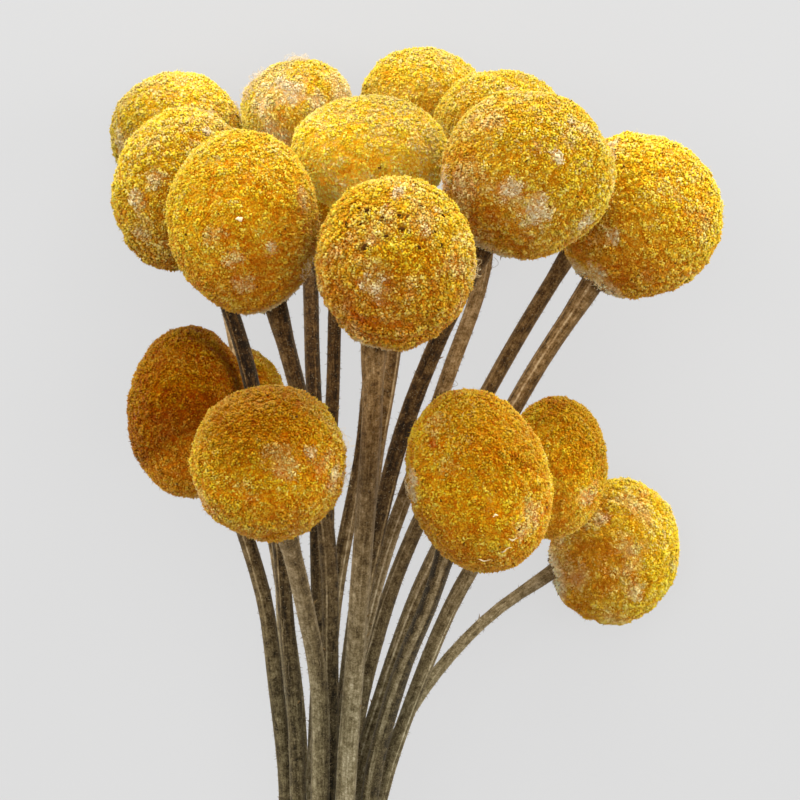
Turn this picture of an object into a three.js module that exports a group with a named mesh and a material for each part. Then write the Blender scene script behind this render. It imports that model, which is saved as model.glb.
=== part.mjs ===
// A tied bunch of dried billy buttons, lying on its side on a flat surface.
// Millimetres. X runs across the bunch, Y along it towards the flower heads, Z up.
// Each flower is a ball-shaped head and a bare stem. A twine tie holds the stems together.

import * as THREE from 'three';

// ---- Driving dimensions -------------------------------------------------

const AXIS_HEIGHT = 50;        // height of the middle of the heads above the surface
const TIE_CENTRE = [-13, -90, 38];
const FOOT_CENTRE = [-22, -334, 9];

const INNER_RADIUS = 3.7;      // middles of the inner stems in the tie
const BUNDLE_RADIUS = 9.1;     // outside of the outer stems in the tie
const FOOT_SPREAD = 1.08;      // the bundle opens by this factor at the cut ends
const FOOT_TWIST = 14;         // degrees that the bundle turns between tie and cut ends
const TRIM_STEP = 1.3;         // the cut ends step by this much, up to TRIM_STEPS times
const TRIM_STEPS = 5;
const TRIM_STRIDE = 3;         // steps from one stem to the next, so the ends look uneven

const SEAT_RADIUS = 1.9;       // flat at the bottom of a head, where the stem meets it
const SEAT_GAP = 0.45;         // clearance between a stem and its head
const HEAD_SIDES = 14;
const HEAD_RINGS = 8;
const EGG = 0.06;              // how much a head is fuller towards its crown
const STEM_SIDES = 8;
const STEM_STEPS = 20;

const TIE_WIDTH = 8.4;
const TIE_TURNS = 4;
const TIE_CLEARANCE = 0.45;
const TIE_BODY = 0.7;          // thickness of the tie in the grooves between its turns
const TIE_LEAD = 2;            // the stems start to spread this far beyond the tie
const TIE_SIDES = 28;
const TURN_ARC_POINTS = 3;

// The rings of stems in the tie, from the middle out. A stem sits at a numbered place.
// The outer stems all reach the bundle's outside, so they have an outside radius instead.
const RINGS = {
  middle: { radius: 0, places: 1, start: 0 },
  inner: { radius: INNER_RADIUS, places: 6, start: -20 },
  outer: { outside: BUNDLE_RADIUS, places: 11, start: 5 },
};

// ---- The flowers --------------------------------------------------------
// at:    centre of the head: across, along, and above the middle of the heads
// size:  width, length and depth of the head
// tilt:  degrees that the head's length leans to the right
// lean:  direction from the seat of the stem to the crown of the head
// rise:  direction of the stem where it meets the head, if it isn't the same
// stem:  thickness of the stem
// bend:  how far the stem runs straight out of the tie, and straight below its head
// place: ring and number of the stem's place in the tie

const FLOWERS = [
  {
    at: [-41.2, 48.9, -38], size: [25.8, 24.4, 24], tilt: 0, lean: [-0.27, 0.95, -0.15],
    stem: 2.6, bend: [60, 45], place: ['outer', 6],
  },
  {
    at: [-37.9, 36.4, 5], size: [24.8, 29.6, 25], tilt: 12, lean: [-0.47, 0.88, 0.05],
    stem: 2.7, bend: [40, 20], place: ['outer', 4],
  },
  {
    at: [-26, 29.7, 30], size: [26.4, 31.6, 27], tilt: -4, lean: [-0.38, 0.88, 0.28],
    rise: [-0.25, 0.93, 0.28], stem: 3, bend: [60, 38], place: ['inner', 2],
  },
  {
    at: [-18.7, 53.3, -30], size: [22.2, 18.8, 20], tilt: -10, lean: [-0.08, 0.98, -0.12],
    stem: 2.7, bend: [60, 40], place: ['inner', 4],
  },
  {
    at: [-5.25, 42.9, 0], size: [29, 21.4, 25], tilt: 0, lean: [0, 0.99, 0.08],
    rise: [-0.1, 0.99, 0.08], stem: 2.7, bend: [60, 40], place: ['inner', 3],
  },
  {
    at: [4.2, 55.2, -38.5], size: [24.3, 20.8, 23], tilt: 0, lean: [0.12, 0.97, -0.2],
    rise: [0.07, 0.97, -0.2], stem: 2.7, bend: [40, 35], place: ['inner', 5],
  },
  {
    at: [17.9, 49.6, -20], size: [24.6, 20.6, 23], tilt: 0, lean: [0.1, 0.97, -0.15],
    rise: [-0.02, 0.99, -0.15], stem: 2.8, bend: [60, 30], place: ['middle', 0],
  },
  {
    at: [-0.8, 22.4, 40], size: [27.6, 29.4, 27], tilt: 0, lean: [0.25, 0.93, 0.28],
    rise: [0, 0.96, 0.28], stem: 3.4, bend: [40, 20], place: ['outer', 2],
  },
  {
    at: [21.5, 38.3, 18], size: [30.6, 29.4, 29], tilt: 0, lean: [0.49, 0.86, 0.15],
    rise: [0.44, 0.88, 0.15], stem: 3.1, bend: [50, 50], place: ['inner', 1],
  },
  {
    at: [42.3, 32.5, -8], size: [30.2, 30.2, 29], tilt: 0, lean: [0.57, 0.82, 0.03],
    rise: [0.55, 0.82, 0.03], stem: 3.1, bend: [25, 50], place: ['inner', 0],
  },
  {
    at: [-36.9, -2.3, -3], size: [22.4, 31.6, 23], tilt: 0, lean: [-0.6, 0.79, 0.05],
    rise: [-0.41, 0.9, 0.05], stem: 2.7, bend: [20, 20], place: ['outer', 5],
  },
  {
    at: [-21.5, -10.5, 38], size: [26.8, 26.8, 26.4], tilt: 0, lean: [-0.17, 0.78, 0.6],
    rise: [-0.13, 0.79, 0.6], stem: 3.3, bend: [50, 15], place: ['outer', 3],
  },
  {
    at: [12.9, -13.6, 35], size: [24.3, 32.2, 26], tilt: -17, lean: [0.41, 0.65, 0.64],
    rise: [0.19, 0.75, 0.64], stem: 3.1, bend: [30, 30], place: ['outer', 1],
  },
  {
    at: [26.9, -11.9, 0], size: [19.4, 26.2, 22], tilt: 5, lean: [0.8, 0.58, 0.08],
    rise: [0.66, 0.74, 0.08], stem: 2.6, bend: [20, 12], place: ['outer', 0],
  },
  {
    at: [39.5, -28, -37.3], size: [24.7, 28.4, 25], tilt: 12, lean: [0.95, 0.27, -0.12],
    rise: [0.86, 0.5, -0.12], stem: 2.2, bend: [25, 22], place: ['outer', 10],
  },
  {
    at: [-30.8, 0.4, -40], size: [19.9, 20, 20], tilt: 0, lean: [-0.3, 0.94, -0.15],
    stem: 2.5, bend: [25, 25], place: ['outer', 7],
  },
  {
    at: [36.9, 35.4, -35], size: [18.4, 18.4, 18.4], tilt: 0, lean: [0.56, 0.81, -0.1],
    rise: [0.52, 0.84, -0.1], stem: 2.7, bend: [30, 80], place: ['outer', 9],
  },
  {
    at: [-13.5, 34, -38.5], size: [16, 16, 16], tilt: 0, lean: [-0.26, 0.96, -0.12],
    rise: [0.09, 0.99, -0.12], stem: 2.6, bend: [30, 30], place: ['outer', 8],
  },
];

// ---- Finishes -----------------------------------------------------------

const FLORETS = new THREE.MeshStandardMaterial({ color: 0xd99a12, roughness: 0.95 });
const DRIED_STEM = new THREE.MeshStandardMaterial({ color: 0x6f6250, roughness: 0.9 });
const TWINE = new THREE.MeshStandardMaterial({ color: 0xb08d5a, roughness: 0.9 });

// ---- The bundle ---------------------------------------------------------

const tieCentre = new THREE.Vector3(...TIE_CENTRE);
const footCentre = new THREE.Vector3(...FOOT_CENTRE);
const bundleAxis = tieCentre.clone().sub(footCentre).normalize();
const bundleUp = new THREE.Vector3(0, 0, 1);
bundleUp.addScaledVector(bundleAxis, -bundleUp.dot(bundleAxis)).normalize();
const bundleSide = new THREE.Vector3().crossVectors(bundleAxis, bundleUp);

// A stem's distance from the middle of the bundle and its direction there, in degrees.
function placeInTie([ringName, number], stemRadius) {
  const ring = RINGS[ringName];
  return {
    radius: ring.radius ?? ring.outside - stemRadius,
    angle: ring.start + (number * 360) / ring.places,
  };
}

function bundlePoint(centre, radius, angle, along) {
  const turn = THREE.MathUtils.degToRad(angle);
  return centre.clone()
    .addScaledVector(bundleSide, radius * Math.cos(turn))
    .addScaledVector(bundleUp, radius * Math.sin(turn))
    .addScaledVector(bundleAxis, along);
}

// ---- Heads --------------------------------------------------------------

// A ball of radius 1 with a flat seat at its bottom, a little fuller towards its crown.
function ballProfile(seat) {
  const bottom = -Math.sqrt(1 - seat * seat);
  const profile = [new THREE.Vector2(0, bottom)];
  const seatTurn = Math.asin(seat);
  for (let ring = 0; ring < HEAD_RINGS; ring += 1) {
    const turn = seatTurn + ((Math.PI - seatTurn) * ring) / HEAD_RINGS;
    const height = -Math.cos(turn);
    const fullness = 1 + EGG * (height - bottom);
    profile.push(new THREE.Vector2(Math.sin(turn) * fullness / (1 + EGG), height));
  }
  profile.push(new THREE.Vector2(0, 1));
  return profile;
}

// Stretches the ball to the head's width, length and depth along its own tilted length.
function headStretch({ size, tilt }) {
  const turn = new THREE.Matrix4().makeRotationZ(-THREE.MathUtils.degToRad(tilt));
  const stretch = new THREE.Matrix4().makeScale(size[0] / 2, size[1] / 2, size[2] / 2);
  return turn.clone().multiply(stretch).multiply(turn.invert());
}

function headCentre({ at }) {
  return new THREE.Vector3(at[0], at[1], at[2] + AXIS_HEIGHT);
}

function seatRatio({ size }) {
  return (2 * SEAT_RADIUS) / Math.min(...size);
}

function makeHead(flower, name) {
  const lean = new THREE.Vector3(...flower.lean).normalize();
  const upright = new THREE.Vector3(0, 1, 0);
  const geometry = new THREE.LatheGeometry(ballProfile(seatRatio(flower)), HEAD_SIDES);
  geometry.applyQuaternion(new THREE.Quaternion().setFromUnitVectors(upright, lean));
  geometry.applyMatrix4(headStretch(flower));
  const head = new THREE.Mesh(geometry, FLORETS);
  head.name = name;
  head.position.copy(headCentre(flower));
  return head;
}

// ---- Stems --------------------------------------------------------------

// The middle of the seat, one clearance below the head.
function stemTop(flower, lean) {
  const seat = seatRatio(flower);
  const onSeat = lean.clone().multiplyScalar(-Math.sqrt(1 - seat * seat));
  onSeat.applyMatrix4(headStretch(flower));
  return onSeat.add(headCentre(flower)).addScaledVector(lean, -SEAT_GAP);
}

function stemPath(flower, index) {
  const lean = new THREE.Vector3(...flower.lean).normalize();
  const { radius, angle } = placeInTie(flower.place, flower.stem / 2);
  const trim = TRIM_STEP * ((index * TRIM_STRIDE) % TRIM_STEPS);
  const foot = bundlePoint(footCentre, radius * FOOT_SPREAD, angle + FOOT_TWIST, trim);
  const tied = bundlePoint(tieCentre, radius, angle, TIE_WIDTH / 2 + TIE_LEAD);
  const rise = new THREE.Vector3(...(flower.rise ?? flower.lean)).normalize();
  const top = stemTop(flower, lean);
  const outOfTie = tied.clone().sub(foot).normalize();
  const path = new THREE.CurvePath();
  path.add(new THREE.LineCurve3(foot, tied));
  path.add(new THREE.CubicBezierCurve3(
    tied,
    tied.clone().addScaledVector(outOfTie, flower.bend[0]),
    top.clone().addScaledVector(rise, -flower.bend[1]),
    top,
  ));
  return path;
}

function makeStem(flower, index, name) {
  const section = new THREE.Shape();
  section.absarc(0, 0, flower.stem / 2, 0, 2 * Math.PI);
  const geometry = new THREE.ExtrudeGeometry(section, {
    curveSegments: STEM_SIDES / 2, // a whole circle gets two sides for each segment
    steps: STEM_STEPS,
    extrudePath: stemPath(flower, index),
  });
  const stem = new THREE.Mesh(geometry, DRIED_STEM);
  stem.name = name;
  return stem;
}

// ---- Tie ----------------------------------------------------------------

// A band with one rounded rib for each turn of the twine.
function makeTie() {
  const inside = BUNDLE_RADIUS + TIE_CLEARANCE;
  const groove = inside + TIE_BODY;
  const rib = TIE_WIDTH / TIE_TURNS / 2;
  const profile = [new THREE.Vector2(inside, -TIE_WIDTH / 2)];
  for (let turn = 0; turn < TIE_TURNS; turn += 1) {
    const middle = -TIE_WIDTH / 2 + rib * (2 * turn + 1);
    for (let point = 0; point < TURN_ARC_POINTS; point += 1) {
      const angle = (Math.PI * point) / TURN_ARC_POINTS;
      const height = middle - rib * Math.cos(angle);
      profile.push(new THREE.Vector2(groove + rib * Math.sin(angle), height));
    }
  }
  profile.push(new THREE.Vector2(groove, TIE_WIDTH / 2));
  profile.push(new THREE.Vector2(inside, TIE_WIDTH / 2));
  profile.push(profile[0].clone());
  const tie = new THREE.Mesh(new THREE.LatheGeometry(profile, TIE_SIDES), TWINE);
  tie.name = 'tie';
  tie.position.copy(tieCentre);
  tie.quaternion.setFromUnitVectors(new THREE.Vector3(0, 1, 0), bundleAxis);
  return tie;
}

// ---- The bunch ----------------------------------------------------------

const bunch = new THREE.Group();
FLOWERS.forEach((flower, index) => {
  const number = String(index + 1).padStart(2, '0');
  bunch.add(makeHead(flower, `head_${number}`));
  bunch.add(makeStem(flower, index, `stem_${number}`));
});
bunch.add(makeTie());

// The origin is the middle of the bottom of the bunch's box.
bunch.updateMatrixWorld(true);
const box = new THREE.Box3().setFromObject(bunch, true);
const middle = box.getCenter(new THREE.Vector3());
bunch.position.set(-middle.x, -middle.y, -box.min.z);

export default bunch;
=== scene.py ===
import math
from collections import namedtuple

import bmesh
import bpy
import numpy as np
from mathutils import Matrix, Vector, noise
from mathutils.bvhtree import BVHTree


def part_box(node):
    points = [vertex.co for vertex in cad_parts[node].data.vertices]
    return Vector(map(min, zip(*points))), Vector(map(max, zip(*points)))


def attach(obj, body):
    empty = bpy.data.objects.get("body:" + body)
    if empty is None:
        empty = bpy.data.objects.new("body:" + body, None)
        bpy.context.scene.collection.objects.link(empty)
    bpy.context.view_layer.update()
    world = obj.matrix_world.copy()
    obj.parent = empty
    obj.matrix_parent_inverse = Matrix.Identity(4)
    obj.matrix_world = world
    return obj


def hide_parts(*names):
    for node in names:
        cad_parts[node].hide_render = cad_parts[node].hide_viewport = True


# A tied bunch of dried billy buttons, lying on a pale floor. Metres, Z up.
# Y runs towards the flower heads, and the camera looks straight down on the bunch.

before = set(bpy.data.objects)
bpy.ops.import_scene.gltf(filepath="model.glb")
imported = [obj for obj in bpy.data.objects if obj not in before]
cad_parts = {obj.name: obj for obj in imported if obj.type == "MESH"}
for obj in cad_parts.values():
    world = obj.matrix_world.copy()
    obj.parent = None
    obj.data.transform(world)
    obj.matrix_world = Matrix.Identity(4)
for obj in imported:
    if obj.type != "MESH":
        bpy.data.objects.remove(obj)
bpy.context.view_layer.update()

MM = 0.001
HEADS = [f"head_{number:02d}" for number in range(1, 19)]
STEMS = [f"stem_{number:02d}" for number in range(1, 19)]

# ---- Sizes ----------------------------------------------------------------

MERGE = 0.002 * MM             # a frame node's loose triangles join over this distance
FLOOR_GAP = 0.02 * MM          # what rests on the floor stays this far above it

HEAD_FULLNESS = 1.02           # a head's florets reach this far, as a share of its node
HEAD_ROUNDS = 60               # how often the skin is averaged to round the node's facets off
FLORET_STAND = 0.25 * MM       # height of the florets' rims above the skin they grow from
FLORET_SPACING = 0.385 * MM    # least distance between two florets
FLORET_CROWDING = 34e6         # tries for a floret on each square metre
FLORET_SIZE = 1.15
CLUSTER_PITCH = 2.7 * MM       # the florets stand in small clusters this far apart
GRAIN_PITCH = 1.25 * MM        # and each cluster has smaller humps this far apart
GRAIN_HEIGHT = 0.20 * MM
CLUSTER_STEEPNESS, GRAIN_STEEPNESS = 1.9, 2.4
LUMPS_TO_CLUSTER = 0.42        # broad lumps for each cluster, along any line
CORE_DEPTH = 0.06 * MM         # the core lies this far under the skin's lowest places
BRISTLE_SPACING = 0.46 * MM    # least distance between two of the bristles among the florets

HIDDEN_HEADS = ("head_17", "head_18")
HIDDEN_SIZE = 1.3              # hidden heads have fewer and larger florets
HIDDEN_SPREAD = 1.3            # and this many times the distance between them

# Places on a head, by the cosine of their angle from its stem: 1 where the stem enters.
BARE_SEAT = 0.985              # nothing grows nearer the stem than this
BRACT_START, BRACT_FADE = 0.94, 0.02
NECK_START, NECK_FADE, NECK_HAZE = 0.88, 0.08, 0.7

# Waves in a metre of the noise that makes marks ragged, rings wavy and haze patchy.
RAGGED_NOISE, WAVY_NOISE = 700, 160
BROAD_HAZE_NOISE, FINE_HAZE_NOISE = 150, 420
WOOL_START = 0.56              # wool fibres grow where a tuft is thicker than this
STRAY_WOOL = 0.006             # and this thinly where the head is only hazy

STEM_RING = 4.5 * MM           # distance between the cross sections of a stem
STEM_RIBS = 6
FACETS_TO_RIB = 3
STEM_FACETS = STEM_RIBS * FACETS_TO_RIB
RIB_HEIGHT = 0.10              # as a share of the stem's radius
STEM_INTO_HEAD = 2.6 * MM
STEM_FLARE = 9.0 * MM          # the stem widens over this length below its head
FLARE_SHARE = 0.30             # and by this share of its radius
STEM_WOBBLE = 0.35 * MM        # how far a stem strays from its smooth line
STEADY_ENDS = 15 * MM          # but it does not stray at its ends, which take this length
WOOLLY_LENGTH = 110 * MM       # most of a stem's hairs grow in this length below its head
BARE_NECK = 6 * MM             # and no scales or loose fibres in this length
GREYING_START = 29 * MM        # the stems turn greyer from this far below head_08's middle
GREYING_LENGTH = 47 * MM

# Waves in a metre of the noise along a stem, for each thing that it changes.
SWELL_NOISE, FINE_SWELL_NOISE, TWIST_NOISE, STRAY_NOISE = 45, 130, 22, 40
RIDGE_NOISE, STREAK_NOISE = 20, 14

TWINE_TURNS = 4
TWINE_PLY = 0.56 * MM          # radius of one of the twine's two plies
TWINE_LAY = 6.5 * MM           # length of one turn of the plies round each other
TWINE_STEP = 0.9 * MM
TWINE_SIDES = 8
TUCKED_STEPS = 6               # each end of the twine is tucked under over these steps
TUCK_DEPTH = 1.6 * MM

VIEW_HEIGHT = 0.65             # camera's distance from the middle of the heads
VIEW_WIDTH = 0.14              # width seen at that distance
AXIS_HEIGHT = 0.05035          # height of the middle of the heads
VIEW_FROM_HEAD_08 = Vector((0.7 * MM, -22.5 * MM, 0))


# ---- Colours --------------------------------------------------------------

BLACK, WHITE = [0, 0, 0, 1], [1, 1, 1, 1]


def linear(hex_colour):
    """An sRGB colour such as "e0b030" as linear red, green, blue and alpha."""
    values = [int(hex_colour[at:at + 2], 16) / 255 for at in (0, 2, 4)]
    return [((v + 0.055) / 1.055) ** 2.4 if v > 0.04045 else v / 12.92 for v in values] + [1]


# ---- Node trees -----------------------------------------------------------

class Tree:
    """Adds nodes to a tree and links them, a line for each node."""

    def __init__(self, tree):
        self.tree = tree

    def put(self, value, socket):
        """Links another node's output to a socket, or gives the socket a plain value."""
        if isinstance(value, bpy.types.NodeSocket):
            self.tree.links.new(value, socket)
        else:
            socket.default_value = value

    def add(self, kind, inputs=None, **settings):
        node = self.tree.nodes.new(kind)
        for name, value in settings.items():
            setattr(node, name, value)
        for key, value in (inputs or {}).items():
            self.put(value, node.inputs[key])
        return node

    def math(self, operation, first, second=0.0, third=0.0):
        kind = "ShaderNodeMath"
        return self.add(kind, {0: first, 1: second, 2: third}, operation=operation).outputs[0]

    def ramp(self, value, stops, smooth="LINEAR"):
        node = self.add("ShaderNodeValToRGB", {"Fac": value})
        node.color_ramp.interpolation = smooth
        elements = node.color_ramp.elements
        while len(elements) < len(stops):
            elements.new(0.5)
        for element, (place, colour) in zip(elements, stops):
            element.position = place
            element.color = colour if isinstance(colour, list) else linear(colour)
        return node.outputs["Color"]

    def fade(self, value, start, end):
        """Black where the value is below the start, and white where it is above the end."""
        return self.ramp(value, [(start, BLACK), (end, WHITE)])

    def mix(self, share, first, second, blend="MIX"):
        node = self.add("ShaderNodeMix", data_type="RGBA", blend_type=blend)
        for key, value in (("Factor", share), ("A", first), ("B", second)):
            self.put(value, next(s for s in node.inputs if s.name == key and s.enabled))
        return next(s for s in node.outputs if s.enabled)

    def value(self, name):
        """A piece's own number, such as a floret's tone."""
        return self.add("ShaderNodeAttribute", attribute_name=name).outputs["Fac"]


def new_material(name, roughness, **sockets):
    """A material with a Principled shader, and its tree to add to."""
    material = bpy.data.materials.new(name)
    material.use_nodes = True
    shader = material.node_tree.nodes["Principled BSDF"]
    shader.inputs["Roughness"].default_value = roughness
    for key, value in sockets.items():
        shader.inputs[key.replace("_", " ")].default_value = value
    return material, shader, Tree(material.node_tree)


def noise_on(tree, scale, detail=3.0, roughness=0.6, stretch=None):
    """Noise on the object's own coordinates, from 0 to 1. scale is waves in a metre."""
    place = tree.add("ShaderNodeTexCoord").outputs["Object"]
    if stretch is not None:
        place = tree.add("ShaderNodeMapping", {"Vector": place, "Scale": stretch}).outputs[0]
    return tree.add("ShaderNodeTexNoise", {
        "Vector": place, "Scale": scale, "Detail": detail, "Roughness": roughness,
    }).outputs["Fac"]


def bump(tree, shader, height, strength, distance):
    normal = tree.add("ShaderNodeBump", {
        "Height": height, "Strength": strength, "Distance": distance,
    }).outputs["Normal"]
    tree.put(normal, shader.inputs["Normal"])


SOFTNESS = 3.0                 # weight of the surface's direction against the thing's own


def soften(tree, shader):
    """Turns a small thing's shading towards that of the surface it stands on."""
    outward = tree.add("ShaderNodeAttribute", attribute_name="outward").outputs["Vector"]
    own = tree.add("ShaderNodeNewGeometry").outputs["Normal"]
    both = tree.add("ShaderNodeVectorMath", {0: outward, 1: (SOFTNESS,) * 3, 2: own},
                    operation="MULTIPLY_ADD").outputs[0]
    both = tree.add("ShaderNodeVectorMath", {0: both}, operation="NORMALIZE").outputs[0]
    tree.put(both, shader.inputs["Normal"])


# ---- Materials ------------------------------------------------------------

# What a floret's tone is made of: a start, and shares of its head's paleness, of its own tone
# (less of it on a head of even colour) and of how near the crown it grows: painted light.
TONE_START = -0.93
PALE_SHARE = 0.65
OWN_SHARE, EVENED_SHARE = 0.6, 0.4
CROWN_LIGHT_SHARE = 0.585
# And the patches on a head: waves in a metre, detail, roughness and share.
PATCHES = ((430, 3, 0.6, 1.5), (150, 2, 0.5, 0.65))

FLORET_GRAIN = 3600            # waves in a metre of the fine grain on the florets
CORE_CELLS = 2300.0            # florets in a metre of the core's pattern
CORE_CURL = 2600.0             # waves in a metre of what bends that pattern
CURL_REACH = 0.6 * MM


def patchy_tone(tree, own):
    """A tone from 0 (orange) to 1 (pale), in patches, with each small thing's own on top,
    and painted light that makes it paler towards the crown.
    """
    tone = tree.math("MULTIPLY_ADD", tree.value("pale"), PALE_SHARE, TONE_START)
    own_share = tree.math("MULTIPLY_ADD", tree.value("even"), -EVENED_SHARE, OWN_SHARE)
    # the crown's share is painted light: florets nearer the crown are paler
    parts = [(tree.math("SUBTRACT", own, 0.5), own_share), (tree.value("crown"), CROWN_LIGHT_SHARE)]
    parts += [(noise_on(tree, *pattern), share) for *pattern, share in PATCHES]
    for part, share in parts:
        tone = tree.math("MULTIPLY_ADD", part, share, tone)
    return tone


def dried_colour(tree, own):
    """The colour of a floret with this tone of its own: golden, with orange, straw and woolly pale
    ones among them, and duller towards the stem, partly with age and partly as painted shade."""
    grain = noise_on(tree, FLORET_GRAIN, 2, 0.7)
    shift = tree.math("MULTIPLY_ADD", grain, 0.36, -0.18)
    shifted = tree.math("ADD", patchy_tone(tree, own), shift)
    petals = tree.ramp(shifted, [
        (0.0, "c47a0a"), (0.18, "d29210"), (0.4, "deb01a"), (0.6, "e0bc24"),
        (0.78, "e2c436"), (0.92, "dec450"), (1.0, "d8be68"),
    ])
    older_and_shaded = tree.ramp(shifted, [
        (0.0, "c07e1a"), (0.35, "ce9e30"), (0.6, "d6b24e"), (0.85, "d4ba6e"), (1.0, "ccb278"),
    ])
    # duller towards the stem: partly age, partly painted shade
    low = tree.ramp(tree.value("crown"), [(0.2, WHITE), (0.65, BLACK)])
    petals = tree.mix(tree.math("MULTIPLY", low, 0.7), petals, older_and_shaded)
    petals = tree.mix(tree.value("rust"), petals, linear("c4640c"))
    woolly = tree.math("MULTIPLY_ADD", own, 0.2, tree.value("haze"))
    woolly = tree.math("ADD", woolly, tree.math("MULTIPLY_ADD", grain, 0.45, -0.35))
    woolly = tree.math("MULTIPLY", tree.fade(woolly, 0.05, 0.65), 0.92)
    return tree.mix(woolly, petals, linear("eed8a8"))


def shaded(tree, colour, shade):
    """The colour darkened by a shade, but less on a head of even colour."""
    shade = tree.mix(tree.value("even"), shade, WHITE)
    return tree.mix(1.0, colour, shade, "MULTIPLY")


def with_painted_light(tree, colour):
    """The colour with painted light and shade: lighter or darker over the head, amber painted
    shade on the tops of some heads, and dark brown painted shade in its pits.
    """
    # painted light: the head's colours made lighter or darker for the light that falls on it
    glow = tree.add("ShaderNodeCombineXYZ", {axis: tree.value("glow") for axis in range(3)})
    colour = tree.mix(1.0, colour, glow.outputs[0], "MULTIPLY")
    # painted shade, tinted amber, on the tops of some heads
    colour = tree.mix(tree.value("crown_shade"), colour, linear("a07c28"), "MULTIPLY")
    # painted shade: dark brown in the pits
    return tree.mix(tree.value("pit"), colour, linear("462a0e"))


def floret_material():
    """Dried florets, with painted shade at the foot and in the grooves between the clusters."""
    material, shader, tree = new_material(
        "floret", 0.9, Specular_IOR_Level=0.0, Subsurface_Weight=0.3, Sheen_Weight=0.18,
        Subsurface_Scale=0.7 * MM, Subsurface_Radius=(1.0, 0.6, 0.2))
    shader.inputs["Sheen Tint"].default_value = linear("f0dcb0")
    tone = tree.value("tone")
    # painted shade: darker towards each floret's foot
    depth = tree.ramp(tree.value("reach"), [(0.0, "ecc480"), (0.5, "f6e6c4"), (1.0, WHITE)])
    colour = shaded(tree, dried_colour(tree, tone), depth)
    # painted shade: darker in the grooves between the clusters
    grooves = tree.ramp(tree.value("rise"), [(0.05, "e0b268"), (0.5, WHITE)])
    colour = shaded(tree, colour, grooves)
    lot = tree.math("FRACT", tree.math("MULTIPLY", tone, 37.0))   # a second random number
    dark = tree.math("LESS_THAN", lot, tree.value("specks"))
    colour = tree.mix(dark, colour, linear("6a4416"))
    tree.put(with_painted_light(tree, colour), shader.inputs["Base Color"])
    soften(tree, shader)
    return material


def core_material():
    """The closed inside of a head, which shows as deeper florets between the outer ones."""
    material, shader, tree = new_material("head_core", 0.95, Specular_IOR_Level=0.0)
    place = tree.add("ShaderNodeTexCoord").outputs["Object"]
    curl = tree.add("ShaderNodeTexNoise", {"Vector": place, "Scale": CORE_CURL}).outputs["Color"]
    place = tree.add("ShaderNodeVectorMath", {0: curl, 1: (CURL_REACH,) * 3, 2: place},
                     operation="MULTIPLY_ADD").outputs[0]
    cells = tree.add("ShaderNodeTexVoronoi", {"Vector": place, "Scale": CORE_CELLS})
    own = tree.add("ShaderNodeSeparateColor", {0: cells.outputs["Color"]}).outputs[0]
    # painted shade: darker in the gaps between the core's cells
    gap_shade = tree.ramp(cells.outputs["Distance"], [(0.2, "faeccc"), (0.7, "d8a05c")])
    colour = shaded(tree, dried_colour(tree, own), gap_shade)
    tree.put(with_painted_light(tree, colour), shader.inputs["Base Color"])
    bump(tree, shader, tree.math("SUBTRACT", 1.0, cells.outputs["Distance"]), 0.6, 0.2 * MM)
    return material


def bristle_material():
    """Small tips among the florets, lemon to gold, and white where the head is woolly."""
    material, shader, tree = new_material("bristle", 0.9, Specular_IOR_Level=0.0)
    colour = tree.ramp(patchy_tone(tree, tree.value("tone")), [
        (0.0, "c07c10"), (0.35, "d2a41c"), (0.65, "dac03a"), (1.0, "dac866"),
    ])
    colour = tree.mix(tree.fade(tree.value("haze"), 0.1, 0.6), colour, linear("e6d4b0"))
    tree.put(with_painted_light(tree, colour), shader.inputs["Base Color"])
    soften(tree, shader)
    return material


def wool_material():
    """Matted white wool between the florets."""
    material, shader, tree = new_material("wool", 0.95, Specular_IOR_Level=0.15)
    colour = tree.ramp(noise_on(tree, 900), [(0.3, "dabc84"), (0.55, "e6cfa0"), (0.75, "f0e0be")])
    tree.put(colour, shader.inputs["Base Color"])
    soften(tree, shader)
    return material


def bark_material():
    """A dried stem: felted skin over soft ribs, brown near the head and greyer lower down."""
    material, shader, tree = new_material(
        "bark", 0.95, Specular_IOR_Level=0.1, Sheen_Weight=0.2, Sheen_Roughness=0.5)
    shader.inputs["Sheen Tint"].default_value = linear("d8c8a8")
    place = tree.add("ShaderNodeCombineXYZ", {
        0: tree.math("MULTIPLY", tree.value("turn_x"), 3.0),
        1: tree.math("MULTIPLY", tree.value("turn_y"), 3.0),
        2: tree.math("MULTIPLY", tree.value("along"), 230.0),
    }).outputs[0]
    fibres = tree.add("ShaderNodeTexNoise", {
        "Vector": place, "Scale": 1.5, "Detail": 5.0, "Roughness": 0.65,
    }).outputs["Fac"]
    felt = noise_on(tree, 2700, 3, 0.7)
    mottle = noise_on(tree, 650, 3, 0.6)
    # painted highlight on the ribs and painted shade in their grooves
    tone = tree.math("MULTIPLY_ADD", tree.value("rib"), 0.10, tree.value("shade"))
    crest = tree.fade(tree.value("crest"), 0.45, 0.9)
    tone = tree.math("MULTIPLY_ADD", crest, 0.34, tone)
    for part, share in ((fibres, 0.8), (felt, 0.9), (mottle, 0.9)):
        tone = tree.math("ADD", tone, tree.math("MULTIPLY_ADD", part, share, -share / 2))
    brown = tree.ramp(tone, [(0.0, "1a1006"), (0.25, "452e13"), (0.5, "6e522d"),
                             (0.75, "967850"), (1.0, "baa27a")])
    grey = tree.ramp(tone, [(0.0, "1a160d"), (0.25, "443a25"), (0.5, "6a5f43"),
                            (0.75, "92876a"), (1.0, "b8af94")])
    colour = tree.mix(tree.value("grey"), brown, grey)
    tree.put(colour, shader.inputs["Base Color"])
    height = tree.math("MULTIPLY_ADD", felt, 0.8, fibres)
    bump(tree, shader, height, 0.6, 0.15 * MM)
    return material


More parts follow.
